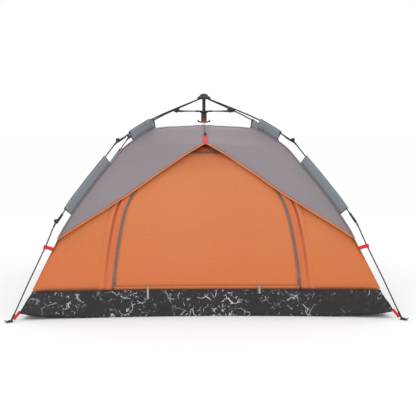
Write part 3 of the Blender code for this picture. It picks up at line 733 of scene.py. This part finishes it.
def tub_ring(half, bow):
    """Closed outline of the floor with bowed sides, and how near each point is to a corner."""
    across = np.linspace(-1, 1, FLOOR_STEPS + 1)[:-1]
    loops, corner = [], []
    for side in range(4):
        wide, deep = half[::-1] if side % 2 else half
        x, y = across * wide, -deep * (1 - bow * (1 - across ** 2))
        c, s = round(math.cos(side * math.pi / 2)), round(math.sin(side * math.pi / 2))
        loops.append(np.stack((c * x - s * y, s * x + c * y, x * 0), axis=-1))
        corner.append(np.abs(across) ** 4)
    ring = np.concatenate(loops)
    return np.concatenate((ring, ring[:1])), np.concatenate(corner + [corner[0][:1]])


def crumpled(band, part):
    """The standing band pushed in and out by its crumples, which fade at both edges."""
    crumple = ripple(band, 7.0, 0.008, 2.0) + ripple(band, 19.0, 0.0045, 5.0) \
        - np.abs(ripple(band, 13.0, 0.010, 8.0))
    free = np.sin(part[..., 0] * math.pi).clip(0) ** 0.5
    level = band * np.array((1.0, 1.0, 0.0))
    level /= np.linalg.norm(level, axis=2, keepdims=True)
    return band + level * (crumple * free)[..., None]


def make_floor():
    low, corner = tub_ring(FLOOR_HALF, FLOOR_BOW)
    high, _ = tub_ring(BAND_HALF, BAND_BOW)
    low[:, 2] = CORNER_LIFT * corner
    high[:, 2] = BAND_TOP
    part = np.linspace(0, 1, 25)[:, None, None]
    band = crumpled(low[None] * (1 - part) + high[None] * part, part)
    sheet = []
    for share in (0.02, 0.25, 0.5, 0.7, 0.86, 0.95):
        ring = low.copy() * share
        ring[:, 2] = 0.0012 + low[:, 2] * max(0.0, (share - 0.86) / 0.14) ** 2
        sheet.append(ring)
    sheet.append(band[0])
    tub = grid("tub_floor", [np.array(sheet), band], FILM, thick=0.0010)
    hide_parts("floor_tub")
    rides(tub)
    rim = high + np.array((0, 0, -0.001))
    rides(rod("band_top_seam", rim, 0.0030, FILM, 8, (0.01, 0.02, 1.0)))


# ------------------------------------------------------------------ sleeves
SLEEVE_RINGS = 30


def in_leg(turn, rows):
    """Leg-plane points (r, z) or (r, w, z) turned to one leg."""
    made = []
    for row in rows:
        r, w, z = row if len(row) == 3 else (row[0], 0.0, row[1])
        made.append((r * math.cos(turn) - w * math.sin(turn),
                     r * math.sin(turn) + w * math.cos(turn), z))
    return np.array(made)


def depth_to_seam(point, way, outer):
    """Distance from the pole in to the canopy seam, within what one turn of cloth can reach."""
    ahead = (FINE_R - point[0]) * way[0] + (FINE_Z - point[1]) * way[1]
    behind = (FINE_R - point[0]) * outer[0] + (FINE_Z - point[1]) * outer[1]
    near = np.where((np.abs(ahead) < 0.004) & (behind > -0.12), behind, -9)
    drop = max(float(near.max()), -0.062) if near.max() > -1 else -0.050
    return min(drop, -0.040) + 0.002


def sleeve_ring(k, point, way, turn):
    """Cross-section of a sleeve: a loop round the pole that closes at the seam."""
    outer = np.array((-way[1], way[0]))
    drop = depth_to_seam(point, way, outer)
    wave = 0.0016 * math.sin(k * 0.9) + 0.0010 * math.sin(k * 2.3 + 1.0)
    loop = [(-0.0012, drop), (-0.0030 + wave * 0.5, drop * 0.62), (-0.0066, -0.010 + wave),
            (-0.0083, -0.001), (-0.0064, 0.0060), (0.0, 0.0088), (0.0064, 0.0060),
            (0.0083, -0.001), (0.0066, -0.010 - wave), (0.0030 + wave * 0.5, drop * 0.62),
            (0.0012, drop)]
    line = []
    for w, v in loop:
        spot = point + outer * v
        line.append((spot[0], w, spot[1]))
    return in_leg(turn, line)


def make_sleeve(name, turn, pole_line, span, hems):
    """Cloth folded over a pole and sewn down along the canopy seam, with hems at some rings."""
    pole_line = np.array(pole_line)
    stations = np.linspace(*span, SLEEVE_RINGS)
    pole = np.stack((stations, np.interp(stations, pole_line[:, 0], pole_line[:, 1])), axis=-1)
    along = np.gradient(pole, axis=0)
    along /= np.linalg.norm(along, axis=1, keepdims=True)
    block = np.array([sleeve_ring(k, point, way, turn)
                      for k, (point, way) in enumerate(zip(pole, along))])
    sleeve = grid(f"{name}_cloth", [block], SLEEVE, thick=0.0010)
    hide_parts(name)
    rides(sleeve)
    for edge, line, radius in (("seam", (block[:, 0] + block[:, -1]) / 2, 0.0036),
                               ("crest", block[:, 5], 0.0026)):
        rides(rod(f"{name}_{edge}", line + outwards(line) * 0.0006, radius, EDGING,
                  8))
    for n, k in enumerate(hems):
        ring = block[k]
        middle = ring.mean(axis=0)
        ahead, behind = block[min(k + 1, len(block) - 1)], block[max(k - 1, 0)]
        facing = tuple(ahead.mean(axis=0) - behind.mean(axis=0) + 1e-5)
        rides(rod(f"{name}_hem_{n}", middle + (ring - middle) * 1.02, STITCH_RADIUS, DARK_TAPE,
                  6, facing))


def make_sleeves():
    """A pair on each leg; the upper one has one more hem near its upper end."""
    ends = (0, SLEEVE_RINGS - 1)
    for leg, turn in LEGS.items():
        make_sleeve(f"{leg}_upper_sleeve", turn, ARM_LINE, ARM_SLEEVE, (*ends, 8))
        make_sleeve(f"{leg}_lower_sleeve", turn, MID_LINE, MID_SLEEVE, ends)


# ------------------------------------------------------------------ frame fittings
def make_collars():
    for name, turn in LEGS.items():
        for n, (low, high) in enumerate(COLLAR_SPANS):
            radii = (low, low + 0.002, high - 0.002, high)
            path = in_leg(turn, [(radius, STRUT_HEIGHT) for radius in radii])
            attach(rod(f"{name}_strut_collar_{n}", path, (0.0056, 0.0062, 0.0062, 0.0054), BLACK,
                        14), f"{name}_strut")


def make_handle():
    """Rounded finger wings over the handle's thin ones."""
    low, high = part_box("pull_handle")
    reach, foot = max(high[0], 0.046), low[2]
    for sign, name in ((-1, "left"), (1, "right")):
        path = curve([(sign * 0.0185, 0.0, foot + 0.0052), (sign * 0.55 * reach, 0.0, foot + 0.0062),
                      (sign * 0.82 * reach, 0.0, foot + 0.0120),
                      (sign * reach, 0.0, foot + 0.0230)], 6)
        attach(rod(f"handle_wing_{name}", path, np.linspace(0.0052, 0.0036, len(path)), BLACK,
                    12), "slider")


# ------------------------------------------------------------------ straps and cord
def make_strap(name, turn, rows, width, count=6, thick=STRAP_THICK):
    flank = (-math.sin(turn), math.cos(turn), 0.0)
    rides(ribbon(name, curve(in_leg(turn, rows), count), flank, width, RED,
                 thick=thick))


def make_strap_loop(name, turn, rows, radius):
    rides(rod(name, curve(in_leg(turn, rows), 6), radius, RED, 12))


def make_leg_straps():
    """Straps from the cloth to the poles, as leg-plane routes."""
    for name, turn in LEGS.items():
        make_strap(f"{name}_foot_strap", turn, [(1.590, 0.058), (1.606, 0.043), (1.622, 0.028),
                                                (1.636, 0.014)], 0.019, 5, 0.0030)
        make_strap(f"{name}_pole_strap", turn, [(1.3355, 0.4242), (1.3655, 0.4362),
                                                (1.3985, 0.4472), (1.4095, 0.4507)], 0.024)
        make_strap_loop(f"{name}_pole_loop", turn, [(1.3945, 0.4487), (1.4055, 0.4312)], 0.0066)
        if name.startswith("rear"):
            make_strap(f"{name}_elbow_strap", turn, [(0.880, 0.9560), (0.893, 0.9850),
                                                     (0.902, 1.0130)], 0.018)
            make_strap_loop(f"{name}_elbow_loop", turn, [(0.893, 1.0280), (0.906, 1.0166)],
                            0.0064)


BROW_PEAK = float(share_of(BROW[0, 1]))
TAB_TOP, HOOK_TOP = BROW_PEAK * 0.80, BROW_PEAK * 0.725


def on_ridge(low, high, count, lift):
    """Route up the middle of the front roof panel, between two shares of its seam."""
    spine = panel(0, np.linspace(low, high, count), 0.0)
    return spine + outwards(spine) * lift


def make_apex_tab():
    spine = on_ridge(BROW_PEAK * 1.002, TAB_TOP, 20, 0.0050)
    lip = spine[:1] + np.array(((0, -0.001, -0.012), (0, -0.0035, -0.004)))
    rides(ribbon("apex_tab", np.concatenate((lip, spine)), (0, -0.4, 1.0), 0.026, RED,
                 thick=0.0024))
    hook = on_ridge(TAB_TOP, HOOK_TOP, 9, 0.0085)
    rides(rod("apex_hook", hook, (0.0040, 0.0095, 0.0100, 0.0085, 0.0060, 0.0050, 0.0064,
                                  0.0066, 0.0040), BLACK))


PULL_LOOP = np.array((0.0, -0.0225, 1.262))


def make_pull_loop():
    """Small webbing loop below the slider, which the cord is tied to."""
    path = curve([PULL_LOOP + (0.0, 0.0, 0.010), PULL_LOOP + (0.007, -0.006, -0.006),
                  PULL_LOOP + (0.005, -0.014, -0.022), PULL_LOOP + (0.0, -0.018, -0.030),
                  PULL_LOOP + (-0.005, -0.014, -0.022), PULL_LOOP + (-0.007, -0.006, -0.006),
                  PULL_LOOP + (-0.001, 0.0, 0.010)], 6)
    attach(ribbon("slider_pull_loop", path, (0.0, -0.9, -0.4), 0.0042, RED),
            "slider")


def make_cord():
    """Cord from the slider's loop down to the roof and along it to the hook."""
    laid = on_ridge(0.115, BROW_PEAK * 0.73, 34, CORD_WIDTH)
    knot = PULL_LOOP + np.array((0.0, -0.019, -0.031))
    drop = curve([knot, knot * 0.5 + laid[0] * 0.5 + np.array((0, -0.002, 0.002)), laid[0]], 6)
    path = np.concatenate((drop[:-1], laid))
    cord = rod("apex_cord", path, CORD_WIDTH / 2, CORD, 8)
    rides(cord)


def make_finishes():
    """Materials of the hard pieces that keep their frame mesh."""
    finish = {"moulded_black": BLACK, "tube_steel": STEEL, "fibreglass": FIBRE,
              "zip_metal": ZIP_METAL}
    kinds = {row["node"]: row["material_slot"] for row in frame["record"]["subparts"]}
    for node, obj in frame["nodes"].items():
        if kinds[node] in finish:
            obj.data.materials.clear()
            obj.data.materials.append(finish[kinds[node]])


make_camera()
make_light()
make_finishes()
make_fly()
make_brow_edges()
make_seam_bindings()
make_front()
make_rear()
make_door()
make_door_hem()
make_zips()
make_floor()
make_sleeves()
make_collars()
make_handle()
make_leg_straps()
make_apex_tab()
make_pull_loop()
make_cord()
